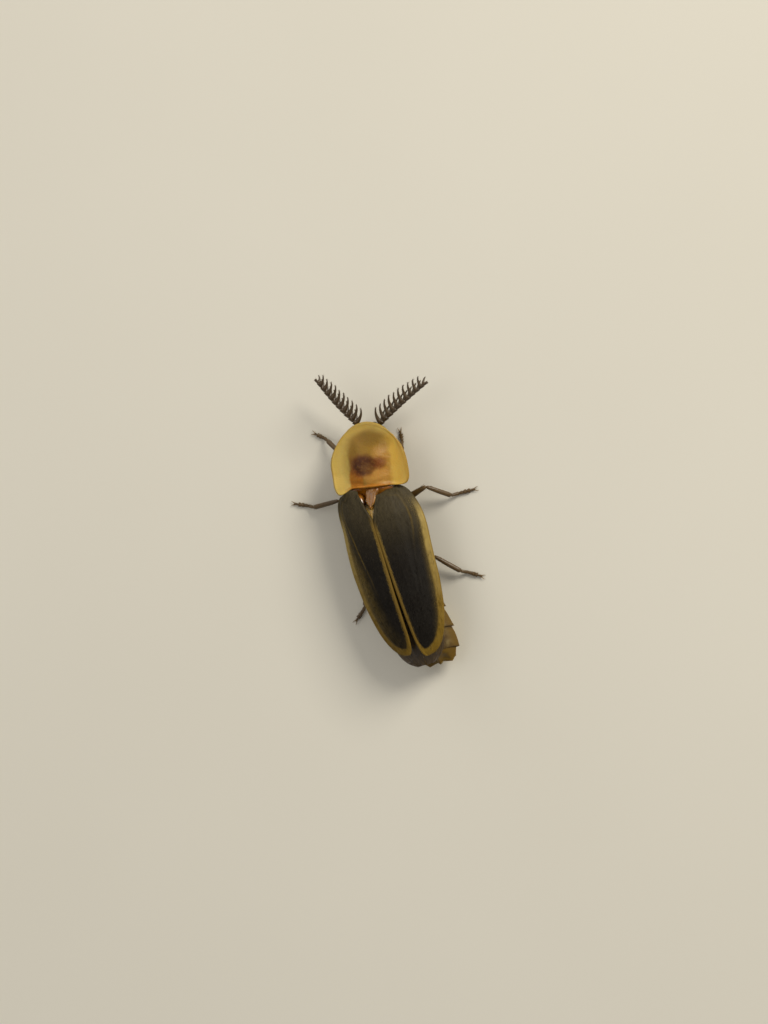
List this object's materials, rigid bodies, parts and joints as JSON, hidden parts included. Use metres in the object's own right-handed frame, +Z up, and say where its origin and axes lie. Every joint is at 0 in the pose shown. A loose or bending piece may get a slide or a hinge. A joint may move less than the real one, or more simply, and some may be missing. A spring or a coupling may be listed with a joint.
{
  "type": "firefly",
  "caption": "Still, life-size male firefly with comb-shaped feelers, a yellow head shield and dark wing cases edged in ochre, standing on its feet.",
  "frame": {"origin": "centre of the whole part's outline on the floor under its feet", "axes": "+Y along the wing cases towards the tail, -Y towards the head, +Z up from the floor, +X to the beetle's left"},
  "size_m": [0.0158, 0.0254, 0.0046],
  "materials": {
    "wing_case": "dark brown horn with fine lengthwise pale down and ochre margins, satin",
    "hind_wing": "smoky brown membrane, satin",
    "shield": "translucent pale yellow horn with a red-brown patch on its disc",
    "amber": "glossy amber horn",
    "underside": "ochre brown horn, satin",
    "dark_horn": "dark brown horn with short down",
    "tail_edge": "translucent yellow-brown horn",
    "light_organ": "pale waxy light organ",
    "eye": "black facetted eye, glossy"
  },
  "bodies": {
    "root": {"pronotum": "shield", "prothorax": "underside", "head": "dark_horn", "eye_left": "eye", "eye_right": "eye", "antenna_left": "dark_horn", "antenna_right": "dark_horn", "scutellum": "amber", "metathorax": "dark_horn", "abdomen": "dark_horn", "lantern": "light_organ", "tail_segment": "tail_edge", "elytron_left": "wing_case", "elytron_right": "wing_case", "hindwing_left": "hind_wing", "hindwing_right": "hind_wing", "leg_fore_left_femur": "dark_horn", "leg_fore_left_tibia": "dark_horn", "leg_fore_left_tarsus": "dark_horn", "leg_fore_right_femur": "dark_horn", "leg_fore_right_tibia": "dark_horn", "leg_fore_right_tarsus": "dark_horn", "leg_mid_left_femur": "dark_horn", "leg_mid_left_tibia": "dark_horn", "leg_mid_left_tarsus": "dark_horn", "leg_mid_right_femur": "dark_horn", "leg_mid_right_tibia": "dark_horn", "leg_mid_right_tarsus": "dark_horn", "leg_hind_left_femur": "dark_horn", "leg_hind_left_tibia": "dark_horn", "leg_hind_left_tarsus": "dark_horn", "leg_hind_right_femur": "dark_horn", "leg_hind_right_tibia": "dark_horn", "leg_hind_right_tarsus": "dark_horn"}
  },
  "joints": []
}
